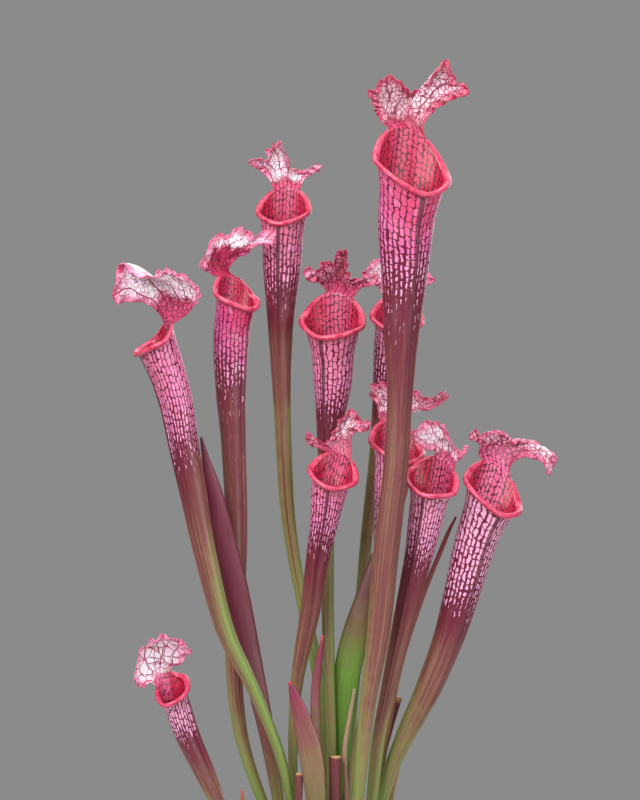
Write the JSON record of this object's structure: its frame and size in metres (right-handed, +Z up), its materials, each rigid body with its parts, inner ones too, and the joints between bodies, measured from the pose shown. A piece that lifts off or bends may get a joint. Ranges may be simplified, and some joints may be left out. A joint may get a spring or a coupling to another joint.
{
  "type": "pitcher plant",
  "caption": "Clump of tall pink pitcher plants with frilled lids and hollow tubes, with flat leaves and shoots, upright on its own bare root ball.",
  "frame": {"origin": "centre of the flat bottom of the root ball", "axes": "+Z up the pitchers, +X to the right of the clump and -Y towards its front, the side the mouths face"},
  "size_m": [0.3104, 0.1551, 0.6329],
  "materials": {
    "growing_medium": "rough, moist peat with pale perlite",
    "rhizome": "rough, woody",
    "pitcher": "satin leaf, pink with lilac windows and red veins",
    "red_sword_leaf": "satin leaf, dark red",
    "green_sword_leaf": "satin leaf, green with a red-brown tip",
    "closed_shoot": "satin, maroon",
    "cut_stub": "satin, brown-red with a pale cut rim",
    "dry_leaf": "dry, matt",
    "thin_stalk": "satin, reddish",
    "young_tip": "satin, orange-pink"
  },
  "bodies": {
    "root": {"root_ball": "growing_medium", "rhizome": "rhizome", "pitcher_01": "pitcher", "pitcher_02": "pitcher", "pitcher_03": "pitcher", "pitcher_04": "pitcher", "pitcher_05": "pitcher", "pitcher_06": "pitcher", "pitcher_07": "pitcher", "pitcher_08": "pitcher", "pitcher_09": "pitcher", "pitcher_10": "pitcher", "pitcher_11": "pitcher", "sword_leaf_left": "red_sword_leaf", "sword_leaf_middle": "green_sword_leaf", "shoot_front": "closed_shoot", "shoot_back": "closed_shoot", "cut_stub_middle": "cut_stub", "cut_stub_right": "cut_stub", "cut_stub_left": "cut_stub", "dry_strip": "dry_leaf", "thin_stalk": "thin_stalk", "young_tip_right": "young_tip", "young_tip_left": "young_tip"}
  },
  "joints": []
}
